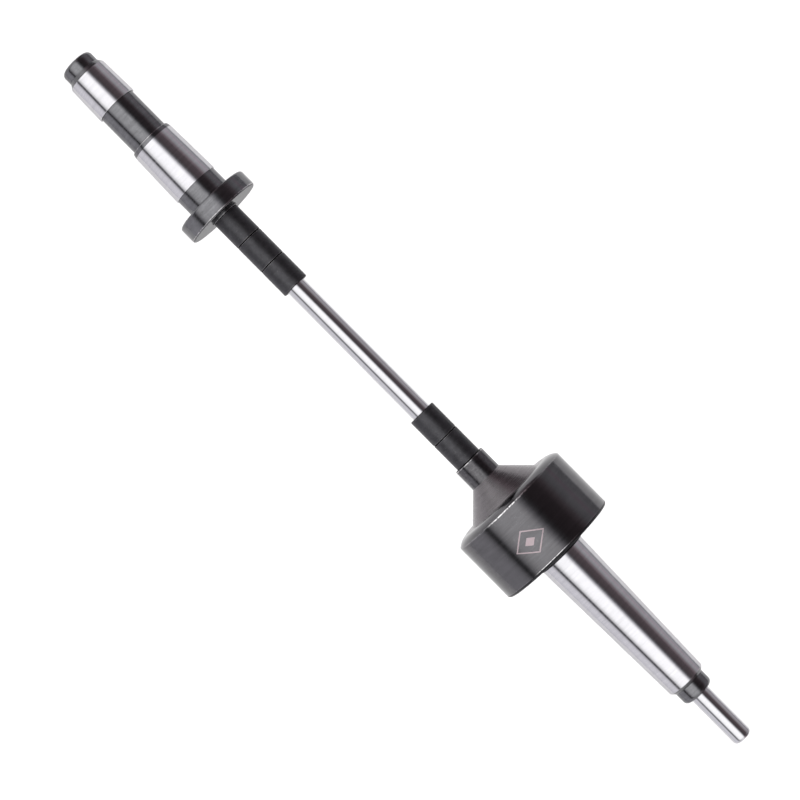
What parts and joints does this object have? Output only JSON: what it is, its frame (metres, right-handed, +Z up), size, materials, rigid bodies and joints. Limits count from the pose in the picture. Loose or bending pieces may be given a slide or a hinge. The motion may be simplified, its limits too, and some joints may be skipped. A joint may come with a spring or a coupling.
{
  "type": "live center",
  "caption": "Hollow live center on a Morse taper shank, carrying the pen-turning mandrel it supports: rod, bushings and Morse taper drive arbor.",
  "frame": {"origin": "on the turning axis at the gauge plane of the live center's Morse taper", "axes": "+X along the turning axis towards the tailstock end of the shank, +Z up, +Y completes the right-handed frame"},
  "size_m": [0.3277, 0.047, 0.047],
  "materials": {
    "black_oxide": "turned steel, black oxide, light circumferential tool lines",
    "ground_steel": "fine ground and polished steel; tail end and collar black oxide",
    "polished_steel": "polished ground rod",
    "bearing_steel": "ground and lapped",
    "pressed_steel": "pressed strip, plain",
    "spring_steel": "phosphated spring steel"
  },
  "bodies": {
    "shank": {"tail_shank": "ground_steel", "rear_inner_ring": "bearing_steel", "front_inner_ring": "bearing_steel", "bearing_spacer": "bearing_steel", "spindle_circlip": "spring_steel"},
    "head": {"center_head": "black_oxide", "rear_outer_ring": "bearing_steel", "front_outer_ring": "bearing_steel", "rear_shield_front": "pressed_steel", "rear_shield_back": "pressed_steel", "front_shield_front": "pressed_steel", "front_shield_back": "pressed_steel", "housing_circlip": "spring_steel", "dust_cover": "spring_steel", "wave_washer": "spring_steel"},
    "front_cage": {"front_cage_front_half": "pressed_steel", "front_cage_back_half": "pressed_steel", "front_cage_rivets": "pressed_steel", "front_balls": "bearing_steel"},
    "rear_cage": {"rear_cage_front_half": "pressed_steel", "rear_cage_back_half": "pressed_steel", "rear_cage_rivets": "pressed_steel", "rear_balls": "bearing_steel"},
    "mandrel": {"mandrel_rod": "polished_steel", "drive_arbor": "black_oxide"},
    "bushing_1": {"bushing_1": "black_oxide"},
    "bushing_2": {"bushing_2": "black_oxide"},
    "bushing_3": {"bushing_3": "black_oxide"},
    "bushing_4": {"bushing_4": "black_oxide"},
    "bushing_5": {"bushing_5": "black_oxide"}
  },
  "joints": [
    {"name": "head_spin", "type": "hinge", "parent": "shank", "child": "head", "pos_m": [-0.0199, 0, 0], "axis": [1, 0, 0], "continuous": true},
    {"name": "front_cage_spin", "type": "hinge", "parent": "shank", "child": "front_cage", "pos_m": [-0.0259, 0, 0], "axis": [1, 0, 0], "continuous": true},
    {"name": "rear_cage_spin", "type": "hinge", "parent": "shank", "child": "rear_cage", "pos_m": [-0.0153, 0, 0], "axis": [1, 0, 0], "continuous": true},
    {"name": "rod_slide", "type": "slide", "parent": "head", "child": "mandrel", "axis": [1, 0, 0], "range_m": [-0.135, 0]},
    {"name": "bushing_1_slide", "type": "slide", "parent": "mandrel", "child": "bushing_1", "axis": [1, 0, 0], "range_m": [0, 0.012]},
    {"name": "bushing_2_slide", "type": "slide", "parent": "bushing_1", "child": "bushing_2", "axis": [1, 0, 0], "range_m": [0, 0.012]},
    {"name": "bushing_3_slide", "type": "slide", "parent": "bushing_2", "child": "bushing_3", "axis": [1, 0, 0], "range_m": [0, 0.012]},
    {"name": "bushing_5_slide", "type": "slide", "parent": "mandrel", "child": "bushing_5", "axis": [1, 0, 0], "range_m": [-0.012, 0]},
    {"name": "bushing_4_slide", "type": "slide", "parent": "bushing_5", "child": "bushing_4", "axis": [1, 0, 0], "range_m": [-0.012, 0]}
  ],
  "couplings": [
    {"joint": "front_cage_spin", "follows": "head_spin", "ratio": 0.6013},
    {"joint": "rear_cage_spin", "follows": "head_spin", "ratio": 0.5916}
  ]
}
